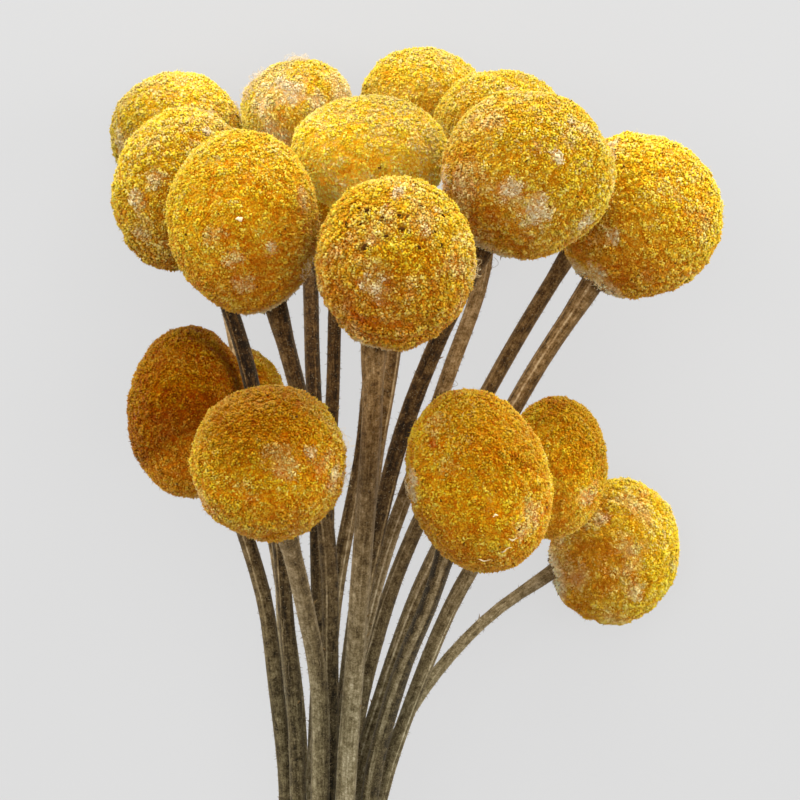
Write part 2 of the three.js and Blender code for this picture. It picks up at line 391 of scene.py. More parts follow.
def plain_grain_material(name, dark, light, scale, roughness, height):
    """A finish of two mottled colours with a fine grain."""
    material, shader, tree = new_material(name, roughness, Specular_IOR_Level=0.2)
    grain = noise_on(tree, scale, 4)
    colour = tree.mix(tree.fade(grain, 0.3, 0.7), linear(dark), linear(light))
    tree.put(colour, shader.inputs["Base Color"])
    bump(tree, shader, noise_on(tree, 3 * scale, 3), 0.6, height)
    return material


FLORET = floret_material()
CORE = core_material()
BRISTLE = bristle_material()
WOOL = wool_material()
BARK = bark_material()
PITH = plain_grain_material("cut_pith", "a98f62", "d9c9a2", 1500, 0.9, 0.2 * MM)
BRACT = plain_grain_material("bract", "5c4426", "a88a58", 900, 0.85, 0.1 * MM)
HAIR = plain_grain_material("stem_hair", "5a4a32", "9a8866", 600, 0.9, 0.05 * MM)
TWINE = plain_grain_material("twine", "8a6a3c", "c6a674", 1200, 0.9, 0.15 * MM)


# ---- Meshes ---------------------------------------------------------------

class Shape:
    """Collects the faces of one piece, with a material and numbers for each part of it."""

    def __init__(self):
        self.points, self.faces, self.slots = [], [], []
        self.values = {}

    def add(self, points, faces, slot=0, **values):
        start = len(self.points)
        self.points.extend(points)
        self.faces.extend([[start + corner for corner in face] for face in faces])
        self.slots.extend([slot] * len(faces))
        for name, given in values.items():
            held = self.values.setdefault(name, [])
            held.extend([0.0] * (start - len(held)))
            held.extend(given if hasattr(given, "__len__") else [given] * len(points))

    def mesh(self, name, materials=()):
        mesh = bpy.data.meshes.new(name)
        mesh.from_pydata([tuple(point) for point in self.points], [], self.faces,
                         shade_flat=False)
        for material in materials:
            mesh.materials.append(material)
        mesh.polygons.foreach_set("material_index", self.slots)
        for key, held in self.values.items():
            held.extend([0.0] * (len(self.points) - len(held)))
            mesh.attributes.new(key, "FLOAT", "POINT").data.foreach_set("value", held)
        mesh.update()
        return mesh


def merged_copy(node):
    """The node's mesh, with its loose triangles joined, as a bmesh."""
    shape = bmesh.new()
    shape.from_mesh(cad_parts[node].data)
    bmesh.ops.remove_doubles(shape, verts=shape.verts, dist=MERGE)
    shape.verts.index_update()
    return shape


def middle(node):
    low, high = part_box(node)
    return (low + high) / 2


def centreline(node, sides=8):
    """The middles of a stem node's cross sections, from its cut end to its head."""
    shape = merged_copy(node)
    ring = sorted(shape.verts, key=lambda vert: vert.co.y)[:sides]
    seen, points = set(ring), []
    while ring:
        points.append(sum((vert.co for vert in ring), Vector()) / len(ring))
        near = {edge.other_vert(vert) for vert in ring for edge in vert.link_edges}
        ring = sorted(near - seen, key=lambda vert: vert.index)   # the same order each run
        seen.update(ring)
    shape.free()
    return points


def stem_radius(node, line):
    shape = merged_copy(node)
    radius = max((vert.co - line[0]).length for vert in shape.verts
                 if abs(vert.co.y - line[0].y) < 1 * MM)
    shape.free()
    return radius


def smooth_line(points, step):
    """Points a step apart on a smooth curve through the given points."""
    ends = [2 * points[0] - points[1], *points, 2 * points[-1] - points[-2]]
    fine = []
    for before, start, end, after in zip(ends, ends[1:], ends[2:], ends[3:]):
        for part in range(10):
            t = part / 10
            fine.append(0.5 * (
                2 * start + (end - before) * t
                + (2 * before - 5 * start + 4 * end - after) * t ** 2
                + (3 * start - before - 3 * end + after) * t ** 3))
    fine.append(points[-1].copy())
    lengths = np.cumsum([0] + [(b - a).length for a, b in zip(fine, fine[1:])])
    count = max(2, round(lengths[-1] / step) + 1)
    wanted = np.linspace(0, lengths[-1], count)
    table = np.array([tuple(point) for point in fine])
    return [Vector([np.interp(at, lengths, table[:, axis]) for axis in range(3)])
            for at in wanted], wanted


def frames_along(points):
    """A direction, a side and an up for each point of a line, without twist."""
    directions = [(after - before).normalized() for before, after in
                  zip([points[0], *points[:-1]], [*points[1:], points[-1]])]
    side = directions[0].orthogonal().normalized()
    frames = []
    for direction in directions:
        side = (side - direction * side.dot(direction)).normalized()
        frames.append((direction, side, direction.cross(side)))
    return frames


def ring_points(place, side, up, radius, sides):
    """The corners of one cross section of a tube."""
    turns = [math.tau * corner / sides for corner in range(sides)]
    return [place + (side * math.cos(turn) + up * math.sin(turn)) * radius for turn in turns]


def open_tube(rings, sides):
    """The outward faces of a tube with this many cross sections, without its ends."""
    return [(ring * sides + corner, ring * sides + (corner + 1) % sides,
             (ring + 1) * sides + (corner + 1) % sides, (ring + 1) * sides + corner)
            for ring in range(rings - 1) for corner in range(sides)]


def closed_tube(rings, sides):
    last = (rings - 1) * sides
    ends = [tuple(range(sides))[::-1], tuple(range(last, last + sides))]
    return open_tube(rings, sides) + ends


def add_thread(shape, start, end, outward, bulge, radius, slot, steps=5):
    """A loose fibre that leaves a surface, bows outward and comes back to it."""
    line = [start.lerp(end, step / steps) + outward * bulge * 4 * (step / steps)
            * (1 - step / steps) for step in range(steps + 1)]
    points = []
    for (_, side, up), place in zip(frames_along(line), line):
        points += ring_points(place, side, up, radius, 3)
    shape.add(points, closed_tube(len(line), 3), slot)


# ---- Florets --------------------------------------------------------------

FLORET_CORNERS = 3

# Shapes of floret, in millimetres: radius of its rim, height of the rim, and height of its
# one point, which is a peak or, under a flat-topped floret, its foot.
FLORET_SHAPES = [
    (0.31, 0.02, -0.5), (0.27, -0.12, 0.18), (0.34, -0.03, -0.5), (0.24, -0.15, 0.24),
    (0.29, 0.06, -0.5), (0.30, -0.14, 0.12), (0.26, 0.09, -0.5), (0.22, -0.12, 0.28),
]


def make_floret(name, sizes, rng):
    """A small closed floret with four triangles: a flat cup or a low peak."""
    rim_out, rim_up, point_up = sizes
    points = []
    for corner in range(FLORET_CORNERS):
        turn = math.tau * (corner + rng.uniform(-0.2, 0.2)) / FLORET_CORNERS
        out = rim_out * rng.uniform(0.8, 1.25) * MM
        up = (rim_up + rng.uniform(-0.06, 0.06)) * MM
        points.append((out * math.cos(turn), out * math.sin(turn), up))
    points.append((0, 0, point_up * MM))
    faces = [(0, 1, 3), (1, 2, 3), (2, 0, 3), (2, 1, 0)]
    peak = point_up > rim_up
    if not peak:
        faces = [face[::-1] for face in faces]
    shape = Shape()
    shape.add(points, faces, reach=[0.5, 0.5, 0.5, 1.0] if peak else [1.0, 1.0, 1.0, 0.0])
    return bpy.data.objects.new(name, shape.mesh(name))


def collection_of(name, objects):
    """A collection outside the scene, which a node tree picks from."""
    collection = bpy.data.collections.new(name)
    for thing in objects:
        collection.objects.link(thing)
    return collection


floret_rng = np.random.default_rng(11)
FLORETS = collection_of("floret_kinds", [
    make_floret(f"floret_{index}", sizes, floret_rng)
    for index, sizes in enumerate(FLORET_SHAPES * 2)
])


def make_fibre(name, rng, steps=2, sides=3):
    """A curled wool fibre about a millimetre long, lying along X."""
    length, radius = rng.uniform(0.5, 1.1) * MM, rng.uniform(0.04, 0.07) * MM
    bend, lift = rng.uniform(-0.6, 0.6), rng.uniform(0.1, 0.5)
    points, faces = [], []
    for step in range(steps + 1):
        t = step / steps
        middle_point = Vector(((t - 0.5) * length, bend * length * t * (1 - t),
                               lift * length * t * (1 - t)))
        width = radius * (1 - 0.6 * abs(2 * t - 1))
        for side in range(sides):
            turn = math.tau * side / sides
            points.append(middle_point + Vector((0, math.cos(turn), math.sin(turn))) * width)
    for step in range(steps):
        for side in range(sides):
            after = (side + 1) % sides
            a, b = step * sides + side, step * sides + after
            faces.append((a, a + sides, b + sides, b))
    faces += [tuple(range(sides)), tuple(range(steps * sides, (steps + 1) * sides))[::-1]]
    shape = Shape()
    shape.add(points, faces)
    return bpy.data.objects.new(name, shape.mesh(name))


FIBRES = collection_of("fibre_kinds", [
    make_fibre(f"fibre_{index}", floret_rng) for index in range(6)
])


def make_hair(name, rng, widths, heights):
    """A bent spike with a three-sided foot, standing on Z."""
    width, height = rng.uniform(*widths) * MM, rng.uniform(*heights) * MM
    lean = rng.uniform(-0.35, 0.35) * height
    foot = [(width * math.cos(turn), width * math.sin(turn), 0)
            for turn in (0, math.tau / 3, 2 * math.tau / 3)]
    shape = Shape()
    shape.add([*foot, (lean, 0.4 * lean, height)],
              [(0, 1, 3), (1, 2, 3), (2, 0, 3), (2, 1, 0)])
    return bpy.data.objects.new(name, shape.mesh(name))


# Ranges of a bristle's half width and height, in millimetres.
STOUT_BRISTLE = ((0.08, 0.12), (0.25, 0.45))
FINE_BRISTLE = ((0.035, 0.05), (0.5, 0.85))

HAIRS = collection_of("hair_kinds", [
    make_hair(f"hair_{index}", floret_rng, (0.04, 0.06), (0.25, 0.6)) for index in range(5)
])
BRISTLES = collection_of("bristle_kinds", [
    make_hair(f"bristle_{index}", floret_rng, widths, heights)
    for index, (widths, heights) in enumerate(3 * [STOUT_BRISTLE, STOUT_BRISTLE, FINE_BRISTLE])
])
BRACTS = collection_of("bract_kinds", [
    make_hair(f"bract_{index}", floret_rng, (0.15, 0.28), (0.4, 0.9)) for index in range(4)
])


# ---- Geometry node trees --------------------------------------------------

def geometry_tree(name, inputs):
    """A geometry tree with these named inputs, its helper and its input node's sockets."""
    group = bpy.data.node_groups.new(name, "GeometryNodeTree")
    for socket_name, kind in [("Geometry", "Geometry"), *inputs]:
        group.interface.new_socket(socket_name, in_out="INPUT",
                                   socket_type=f"NodeSocket{kind}")
    group.interface.new_socket("Geometry", in_out="OUTPUT", socket_type="NodeSocketGeometry")
    tree = Tree(group)
    return group, tree, tree.add("NodeGroupInput").outputs


def finish_tree(tree, geometry, material):
    """Ends a tree with real, painted geometry."""
    real = tree.add("GeometryNodeRealizeInstances", {"Geometry": geometry}).outputs[0]
    painted = tree.add("GeometryNodeSetMaterial", {"Geometry": real, "Material": material})
    tree.add("NodeGroupOutput", {"Geometry": painted.outputs[0]})


def random_value(tree, low, high, seed, offset):
    """A random number for each element, from its own stream."""
    stream = tree.math("ADD", seed, float(offset))
    node = tree.add("FunctionNodeRandomValue", {2: low, 3: high, "Seed": stream},
                    data_type="FLOAT")
    return node.outputs[1]


def stored(tree, points, name, value, kind):
    """The points, with a named value on each."""
    return tree.add("GeometryNodeStoreNamedAttribute", {
        "Geometry": points, "Name": name, "Value": value,
    }, data_type=kind, domain="POINT").outputs[0]


def turned(tree, rotation, angles):
    """The rotation, turned further by these angles about its own axes."""
    further = tree.add("FunctionNodeEulerToRotation", {0: angles}).outputs[0]
    return tree.add("FunctionNodeRotateRotation", {
        "Rotation": rotation, "Rotate By": further,
    }, rotation_space="LOCAL").outputs[0]


def covering_tree():
    """Stands small things on a surface: florets, wool fibres or hairs."""
    group, tree, given = geometry_tree("covering", [
        ("Kinds", "Collection"), ("Spacing", "Float"), ("Crowding", "Float"),
        ("Size", "Float"), ("Size Spread", "Float"), ("Tilt", "Float"),
        ("Sink", "Float"), ("Seed", "Int"), ("Material", "Material"),
    ])
    where = tree.add("GeometryNodeInputNamedAttribute", {"Name": "cover"}, data_type="FLOAT")
    spread = tree.add("GeometryNodeDistributePointsOnFaces", {
        "Mesh": given["Geometry"], "Distance Min": given["Spacing"],
        "Density Max": given["Crowding"], "Density Factor": where.outputs["Attribute"],
        "Seed": given["Seed"],
    }, distribute_method="POISSON")
    tone = random_value(tree, 0.0, 1.0, given["Seed"], 1)
    marked = stored(tree, spread.outputs["Points"], "tone", tone, "FLOAT")
    marked = stored(tree, marked, "outward", spread.outputs["Normal"], "FLOAT_VECTOR")
    tilt_down = tree.math("MULTIPLY", given["Tilt"], -1.0)
    lean = tree.add("ShaderNodeCombineXYZ", {
        0: random_value(tree, tilt_down, given["Tilt"], given["Seed"], 2),
        1: random_value(tree, tilt_down, given["Tilt"], given["Seed"], 3),
    }).outputs[0]
    spin = tree.add("ShaderNodeCombineXYZ", {
        2: random_value(tree, 0.0, math.tau, given["Seed"], 4),
    }).outputs[0]
    stance = turned(tree, turned(tree, spread.outputs["Rotation"], lean), spin)
    least = tree.math("SUBTRACT", given["Size"], given["Size Spread"])
    most = tree.math("ADD", given["Size"], given["Size Spread"])
    kinds = tree.add("GeometryNodeCollectionInfo", {
        "Collection": given["Kinds"], "Separate Children": True, "Reset Children": True,
    })
    placed = tree.add("GeometryNodeInstanceOnPoints", {
        "Points": marked, "Instance": kinds.outputs[0], "Pick Instance": True,
        "Instance Index": tree.add("FunctionNodeRandomValue", {
            4: 0, 5: 1000, "Seed": given["Seed"],
        }, data_type="INT").outputs[2],
        "Rotation": stance, "Scale": random_value(tree, least, most, given["Seed"], 5),
    }).outputs[0]
    sunk = tree.add("ShaderNodeCombineXYZ", {
        2: random_value(tree, tree.math("MULTIPLY", given["Sink"], -1.0), 0.0,
                        given["Seed"], 6),
    }).outputs[0]
    moved = tree.add("GeometryNodeTranslateInstances", {
        "Instances": placed, "Translation": sunk, "Local Space": True,
    }).outputs[0]
    finish_tree(tree, moved, given["Material"])
    return group


COVERING = covering_tree()


def covered(surface, name, **inputs):
    """The mesh that a covering grows on a surface mesh."""
    thing = bpy.data.objects.new(name, surface)
    bpy.context.scene.collection.objects.link(thing)
    modifier = thing.modifiers.new("covering", "NODES")
    modifier.node_group = COVERING
    for item in COVERING.interface.items_tree:
        key = item.name.replace(" ", "_").lower()
        if item.in_out == "INPUT" and key in inputs:
            modifier[item.identifier] = inputs[key]
    depsgraph = bpy.context.evaluated_depsgraph_get()
    mesh = bpy.data.meshes.new_from_object(
        thing.evaluated_get(depsgraph), preserve_all_data_layers=True, depsgraph=depsgraph)
    bpy.data.objects.remove(thing)
    return mesh


# ---- Heads ----------------------------------------------------------------

# pale:    added to the florets' tone, so that more of them are pale or orange
# lumps:   height of the broad unevenness, in millimetres
# cobbles: height of the clusters of florets, in millimetres
# wool:    how much of the head is hazy with wool, from 0 to 1
# specks:  share of the florets that have gone dark
HEAD_LOOKS = {
    "head_01": (0.43, 0.5, 0.30, 0.30, 0.002), "head_02": (0.18, 0.5, 0.44, 0.28, 0.003),
    "head_03": (-0.12, 0.4, 0.24, 0.12, 0.003), "head_04": (0.36, 0.7, 0.28, 0.55, 0.002),
    "head_05": (0.39, 0.4, 0.24, 0.12, 0.002), "head_06": (0.33, 0.4, 0.28, 0.15, 0.001),
    "head_07": (0.22, 0.5, 0.28, 0.20, 0.002), "head_08": (-0.14, 0.5, 0.42, 0.32, 0.003),
    "head_09": (0.14, 0.5, 0.28, 0.36, 0.004), "head_10": (0.00, 0.5, 0.44, 0.25, 0.003),
    "head_11": (-0.45, 0.4, 0.28, 0.20, 0.001), "head_12": (-0.20, 0.4, 0.28, 0.28, 0.002),
    "head_13": (-0.28, 0.3, 0.22, 0.16, 0.002), "head_14": (-0.26, 0.3, 0.26, 0.08, 0.001),
    "head_15": (0.00, 0.5, 0.40, 0.38, 0.001), "head_16": (-0.10, 0.4, 0.28, 0.25, 0.001),
    "head_17": (0.00, 0.4, 0.26, 0.25, 0.001), "head_18": (0.00, 0.4, 0.26, 0.25, 0.001),
}

# Painted shade, tinted amber, on the tops of some heads: how strong it is, where it starts
# between the head's foot (0) and its top (1), and how long it takes to reach its full strength.
PAINTED_CROWN_SHADE = {
    "head_11": (0.9, 0.25, 0.14), "head_12": (0.9, 0.60, 0.35), "head_13": (0.65, 0.60, 0.35),
    "head_14": (0.7, 0.60, 0.25), "head_16": (0.6, 0.40, 0.30),
}

# How even a head's colour is from floret to floret, from 0 to 1.
EVEN = {
    "head_01": 0.15, "head_04": 0.25, "head_05": 0.20, "head_06": 0.25, "head_07": 0.15,
    "head_14": 0.20, "head_15": 0.25,
}

# Painted light and shade: how much lighter or darker a head's colours are than the florets' own:
# in its middle, and how much that grows towards its right side and its far side.
PAINTED_LIGHT = {
    "head_01": (1.06, 0.38, 0.0), "head_02": (0.95, -0.05, 0.0), "head_03": (0.99, 0.0, -0.16),
    "head_04": (1.30, 0.0, -0.43), "head_05": (1.50, -0.10, -0.59), "head_06": (1.26, 0.0, -0.38),
    "head_07": (1.02, 0.0, -0.22), "head_08": (0.97, 0.0, -0.15), "head_09": (0.97, 0.0, -0.20),
    "head_10": (1.21, 0.0, -0.12), "head_11": (1.10, 0.0, -0.08), "head_12": (1.02, 0.0, -0.10),
    "head_13": (1.07, 0.16, 0.0), "head_14": (1.26, 0.0, -0.15), "head_15": (1.24, -0.05, -0.08),
    "head_16": (1.08, 0.0, 0.0),
}

# Tufts of wool: head, place across and along the head as shares of its half width and
# half length, seen from above, the tuft's radius in millimetres, and how thick it is.
WOOL_TUFTS = [
    ("head_01", -0.80, -0.17, 2.4, 0.5), ("head_02", -0.30, 0.09, 1.5, 0.5),
    ("head_02", -0.62, -0.16, 1.6, 0.6), ("head_02", -0.57, -0.57, 1.5, 0.45),
    ("head_02", 0.43, 0.69, 0.8, 0.8), ("head_03", 0.43, -0.30, 0.9, 0.7),
    ("head_03", -0.34, -0.19, 1.5, 0.3), ("head_03", -0.08, -0.43, 1.5, 0.35),
    ("head_03", 0.04, -0.72, 1.6, 0.35), ("head_03", 0.82, 0.22, 1.5, 0.35),
    ("head_04", -0.05, 0.20, 1.6, 0.8), ("head_04", -0.58, 0.07, 1.8, 0.55),
    ("head_04", -0.24, 0.44, 1.2, 0.8), ("head_04", 0.40, 0.10, 1.6, 0.5),
    ("head_05", 0.60, 0.20, 1.6, 0.2), ("head_07", 0.15, 0.55, 0.9, 0.7),
    ("head_08", 0.02, 0.79, 1.1, 1.0), ("head_08", -0.27, -0.31, 1.7, 0.75),
    ("head_08", -0.11, 0.58, 1.1, 0.45), ("head_08", 0.37, 0.35, 1.3, 0.45),
    ("head_08", -0.30, 0.24, 0.9, 0.4), ("head_08", 0.52, 0.60, 0.9, 0.4),
    ("head_09", -0.25, -0.23, 1.7, 0.9), ("head_09", 0.08, -0.49, 2.1, 0.9),
    ("head_09", 0.30, 0.16, 1.0, 1.0), ("head_09", 0.49, 0.60, 0.8, 0.8),
    ("head_09", 0.66, -0.62, 2.0, 0.6), ("head_09", -0.80, -0.16, 2.4, 0.35),
    ("head_09", -0.45, 0.60, 2.0, 0.35), ("head_10", -0.42, -0.29, 1.3, 0.8),
    ("head_10", -0.35, 0.85, 0.9, 0.9), ("head_10", -0.55, -0.70, 1.5, 0.6),
    ("head_12", 0.55, 0.14, 0.9, 0.6), ("head_12", 0.12, 0.15, 1.8, 0.32),
    ("head_12", 0.25, -0.05, 2.0, 0.32), ("head_12", 0.87, -0.17, 1.6, 0.5),
    ("head_13", -0.93, 0.02, 1.5, 0.8), ("head_13", -0.93, -0.13, 1.2, 1.0),
    ("head_13", -0.55, 0.61, 1.9, 0.22), ("head_13", -0.43, 0.15, 1.5, 0.15),
    ("head_13", 0.70, -0.34, 2.0, 0.3), ("head_13", 0.58, -0.50, 1.8, 0.3),
    ("head_14", 0.60, -0.40, 2.0, 0.3), ("head_15", -0.25, 0.45, 1.7, 0.4),
    ("head_15", 0.30, -0.55, 1.6, 0.4),
]

# Felted white scraps that lie on a head: head, place as above, length in millimetres,
# turn on the head in degrees and half its width in millimetres.
SCRAPS = [
    ("head_13", 0.19, -0.34, 0.9, 20, 0.16), ("head_13", 0.41, -0.58, 1.7, 5, 0.15),
    ("head_13", 0.33, -0.70, 2.1, 38, 0.14), ("head_13", 0.06, -0.83, 2.0, -8, 0.14),
    ("head_09", 0.30, 0.16, 1.3, -50, 0.32), ("head_03", 0.00, 0.00, 1.2, 10, 0.34),
]

# Places where loose wool stands off a head: head, place as above and number of fibres.
FLUFF = [
    ("head_04", 0.00, 0.98, 60), ("head_04", -0.90, 0.30, 60), ("head_04", -0.70, 0.65, 40),
    ("head_01", 0.92, 0.35, 30), ("head_12", 0.95, 0.30, 16), ("head_12", 0.97, -0.15, 20),
    ("head_03", 0.85, -0.50, 24), ("head_13", -0.97, -0.05, 20), ("head_09", -0.95, -0.05, 30),
    ("head_09", 0.93, 0.30, 14), ("head_08", 0.96, -0.10, 14), ("head_02", 0.45, 0.90, 12),
]
FLUFF_RADIUS = 2.6 * MM

# Pits between the florets, sunk in and filled with dark brown painted shade: head, place as
# above and radius in millimetres.
PITS = [
    ("head_08", -0.51, 0.67, 0.35), ("head_08", -0.44, 0.59, 0.30), ("head_08", -0.35, 0.58, 0.40),
    ("head_08", -0.17, 0.49, 0.45), ("head_08", 0.05, 0.52, 0.45), ("head_08", 0.09, 0.37, 0.55),
    ("head_08", 0.31, 0.64, 0.35), ("head_08", 0.60, 0.52, 0.40), ("head_08", -0.61, 0.42, 0.35),
    ("head_08", -0.43, 0.41, 0.35), ("head_08", -0.10, 0.29, 0.50), ("head_08", -0.40, 0.16, 0.60),
    ("head_08", 0.58, 0.17, 0.40), ("head_08", 0.31, 0.16, 0.50), ("head_08", 0.47, 0.34, 0.35),
    ("head_13", -0.55, -0.20, 0.30), ("head_03", -0.68, 0.12, 0.30),
]
PIT_DEPTH = 0.3 * MM

# Rusty orange spots: head, place as above, radius in millimetres and how strong they are.
RUST = [
    ("head_13", -0.64, 0.55, 0.5, 0.8), ("head_13", -0.61, 0.40, 0.6, 0.9),
    ("head_13", -0.15, 0.45, 2.0, 0.35), ("head_13", 0.10, -0.30, 1.3, 0.4),
    ("head_12", -0.20, -0.45, 1.5, 0.5), ("head_12", 0.10, -0.65, 1.2, 0.4),
    ("head_12", 0.35, 0.25, 1.4, 0.3), ("head_08", -0.60, 0.30, 1.2, 0.5),
    ("head_08", -0.75, 0.05, 1.2, 0.5), ("head_08", 0.20, -0.35, 1.5, 0.4),
    ("head_08", 0.55, -0.35, 1.2, 0.4), ("head_01", -0.35, -0.30, 1.0, 0.4),
    ("head_02", 0.25, 0.60, 1.2, 0.4), ("head_02", -0.10, -0.30, 1.3, 0.4),
    ("head_03", 0.10, 0.45, 1.6, 0.4), ("head_03", -0.55, -0.75, 1.5, 0.5),
    ("head_04", 0.20, 0.60, 1.3, 0.5), ("head_04", 0.65, 0.10, 1.2, 0.4),
    ("head_09", 0.10, 0.25, 1.3, 0.4), ("head_09", 0.25, -0.05, 1.3, 0.4),
    ("head_10", -0.65, -0.35, 1.4, 0.5), ("head_10", -0.20, -0.60, 1.5, 0.4),
    ("head_15", -0.45, 0.10, 1.2, 0.4), ("head_15", 0.05, -0.35, 1.2, 0.4),
]
SPECK_LIFT = 1.008             # a dark speck of painted shade sits at this share of the skin's reach

# Tufts, pits and rusty spots fade out at this many of their radii from their middles.
TUFT_REACH, PIT_REACH, RUST_REACH = 1.7, 1.8, 1.4

# How strongly a head's lower half is ringed with shallow grooves.
RINGED = {"head_02": 0.5, "head_08": 1.0, "head_09": 0.5, "head_10": 0.7, "head_15": 0.6}
RING_DEPTH = 0.3 * MM
RINGS = 26


def ball(levels):
    """The points and triangles of an evenly divided ball of radius 1."""
    shape = bmesh.new()
    bmesh.ops.create_icosphere(shape, subdivisions=levels, radius=1)
    points = np.array([vert.co for vert in shape.verts])
    faces = [[vert.index for vert in face.verts] for face in shape.faces]
    shape.free()
    return points, faces


FINE_BALL = ball(7)
CORE_BALL = ball(4)
SPECK_BALL = ball(1)
# For each point of the core's ball, the fine ball's point that lies nearest to it.
CORE_SPOTS = np.argmax(CORE_BALL[0] @ FINE_BALL[0].T, axis=1)


def reach_of(node, centre, directions):
    """How far the node's surface is from its centre in each direction."""
    shape = merged_copy(node)
    tree = BVHTree.FromBMesh(shape)
    reach = np.array([tree.ray_cast(centre, Vector(way))[3] for way in directions])
    shape.free()
    return reach


def smoothed(values, faces, rounds):
    """Each value averaged with its neighbours', which rounds the node's flat facets off."""
    corners = np.array(faces)
    count = np.bincount(corners.ravel(), minlength=len(values))
    for _ in range(rounds):
        around = (values[corners].sum(1, keepdims=True) - values[corners]) / 2
        values = np.bincount(corners.ravel(), around.ravel(), len(values)) / count
    return values


def head_skin(node, fine, rounds, lowest=False):
    """The surface that a head's florets grow from: its points, faces, and how high each
    point lies on its cluster, from 0 to 1. The lowest one lies under all of its grooves."""
    directions, faces = fine
    centre = middle(node)
    reach = smoothed(reach_of(node, centre, directions), faces, rounds) * HEAD_FULLNESS
    _, lumps, cobbles, _, _ = HEAD_LOOKS[node]
    seed = Vector((HEADS.index(node) * 3.7, 1.3, 7.1))
    rise = np.empty(len(directions))
    grains = np.empty(len(directions))
    uneven = np.empty(len(directions))
    for index, way in enumerate(directions):
        place = Vector(way) * float(reach[index]) / CLUSTER_PITCH + seed
        apart = noise.voronoi(place)[0]
        rise[index] = min(1.0, CLUSTER_STEEPNESS * (apart[1] - apart[0]))
        apart = noise.voronoi(place * (CLUSTER_PITCH / GRAIN_PITCH))[0]
        grains[index] = min(1.0, GRAIN_STEEPNESS * (apart[1] - apart[0]))
        uneven[index] = noise.noise(place * LUMPS_TO_CLUSTER)
    if lowest:
        rise[:], grains[:] = 0, 0
    reach += uneven * lumps * MM + (rise - 1) * cobbles * MM - FLORET_STAND
    reach += (grains - 1) * GRAIN_HEIGHT
    return centre, directions * reach[:, None], faces, 0.4 * rise + 0.6 * grains


def view_point(across, along):
    """A direction from the head's centre to the place seen from above."""
    return Vector((across, along, math.sqrt(max(0.02, 1 - across ** 2 - along ** 2))))


def spots_on(node, offsets, places):
    """The places from one of the tables that lie on this head: the head's points' distances
    from each, and the rest of its row."""
    low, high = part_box(node)
    for name, across, along, *rest in places:
        if name == node:
            way = view_point(across, along)
            spot = np.array([way[axis] * (high - low)[axis] / 2 for axis in range(3)])
            yield np.linalg.norm(offsets - spot, axis=1), rest


def facing(offsets, way):
    """The cosine of the angle between each point and a direction from the head's centre."""
    return offsets @ np.array(way) / np.linalg.norm(offsets, axis=1)


def lengthened(offsets, extra):
    """The offsets from the head's centre, each longer by this much."""
    return offsets * (1 + extra / np.linalg.norm(offsets, axis=1))[:, None]


def noise_at(offsets, scale, shift=(0, 0, 0)):
    """Smooth noise at each point, from about -1 to 1. scale is waves in a metre."""
    shift = Vector(shift)
    return np.array([noise.noise(Vector(point) * scale + shift) for point in offsets])


def spotted(node, offsets, places, reach, ragged=0.0):
    """How strongly the spots in one of the tables mark each of the head's points."""
    marks = np.zeros(len(offsets))
    for apart, (radius, *strength) in spots_on(node, offsets, places):
        share = np.clip(reach - apart / (radius * MM) + ragged, 0, 1)
        marks = np.maximum(marks, strength[0] * share if strength else share)
    return marks


def add_shade_speck(shape, foot, radius):
    """A dark speck of painted shade in a pit: a small flattened ball on the skin."""
    points, faces = SPECK_BALL
    turn = foot.normalized().to_track_quat("Z", "Y")
    shape.add([foot + turn @ Vector((x, 0.6 * y, 0.4 * z)) * radius for x, y, z in points],
              faces, pit=1.0, glow=1.0)


def make_scrap(centre, offsets, apart, length, turn, half_width, rng):
    """A ragged, felted white scrap that lies flat on the head."""
    foot = Vector(offsets[int(np.argmin(apart))])
    outward = foot.normalized()
    across = Vector((0, 1, 0)).cross(outward).normalized()
    away = outward.cross(across)
    run = across * math.cos(math.radians(turn)) + away * math.sin(math.radians(turn))
    side = outward.cross(run)
    rings, corners = 8, 5
    points = []
    for ring in range(rings + 1):
        t = ring / rings - 0.5
        bend = 0.12 * length * math.sin(7 * t + turn)
        sag = (t * length) ** 2 / (2 * foot.length)
        place = centre + foot + run * (t * length) + side * bend + outward * (0.35 * MM - sag)
        width = half_width * rng.uniform(0.6, 1.4) * (1 - (2 * abs(t)) ** 3 * 0.8)
        for corner in range(corners):
            angle = math.tau * corner / corners
            points.append(place + (side * math.cos(angle) + outward * 0.7 * math.sin(angle))
                          * width * rng.uniform(0.8, 1.2))
    shape = Shape()
    shape.add(points, closed_tube(rings + 1, corners))
    return shape.mesh("scrap", [WOOL])


def crown_and_painted_light(node, offsets, lean):
    """How near its crown each point is, and the head's amber painted shade and painted light
    there.
    """
    crown = (facing(offsets, lean) + 1) / 2
    amount, start, fade = PAINTED_CROWN_SHADE.get(node, (0.0, 0.5, 0.3))
    # painted light: each point made lighter or darker, growing towards the right and far sides
    glow, across, along = PAINTED_LIGHT.get(node, (1.0, 0.0, 0.0))
    share = offsets / np.abs(offsets).max(axis=0)
    return {"crown": crown, "crown_shade": amount * np.clip((crown - start) / fade, 0, 1),
            "glow": glow * (1 + across * share[:, 0] + along * share[:, 1])}


def add_fluff(shape, points, near, count, rng):
    """Loose wool fibres that bow out of the head round one place."""
    for _ in range(count):
        start, end = (Vector(points[spot]) for spot in rng.choice(near, 2))
        outward = start.normalized() + Vector(rng.uniform(-0.5, 0.5, 3))
        add_thread(shape, start, end, outward, rng.uniform(0.2, 1.3) * MM,
                   rng.uniform(0.014, 0.026) * MM, 0)


# What marks each point of a head: the cosine of its angle from the crown, a ragged noise, how
# thick its wool is, how deep in a pit, how rusty and how hazy it is, and its height.
Marks = namedtuple("Marks", "crown ragged tufts pits rust haze rise")


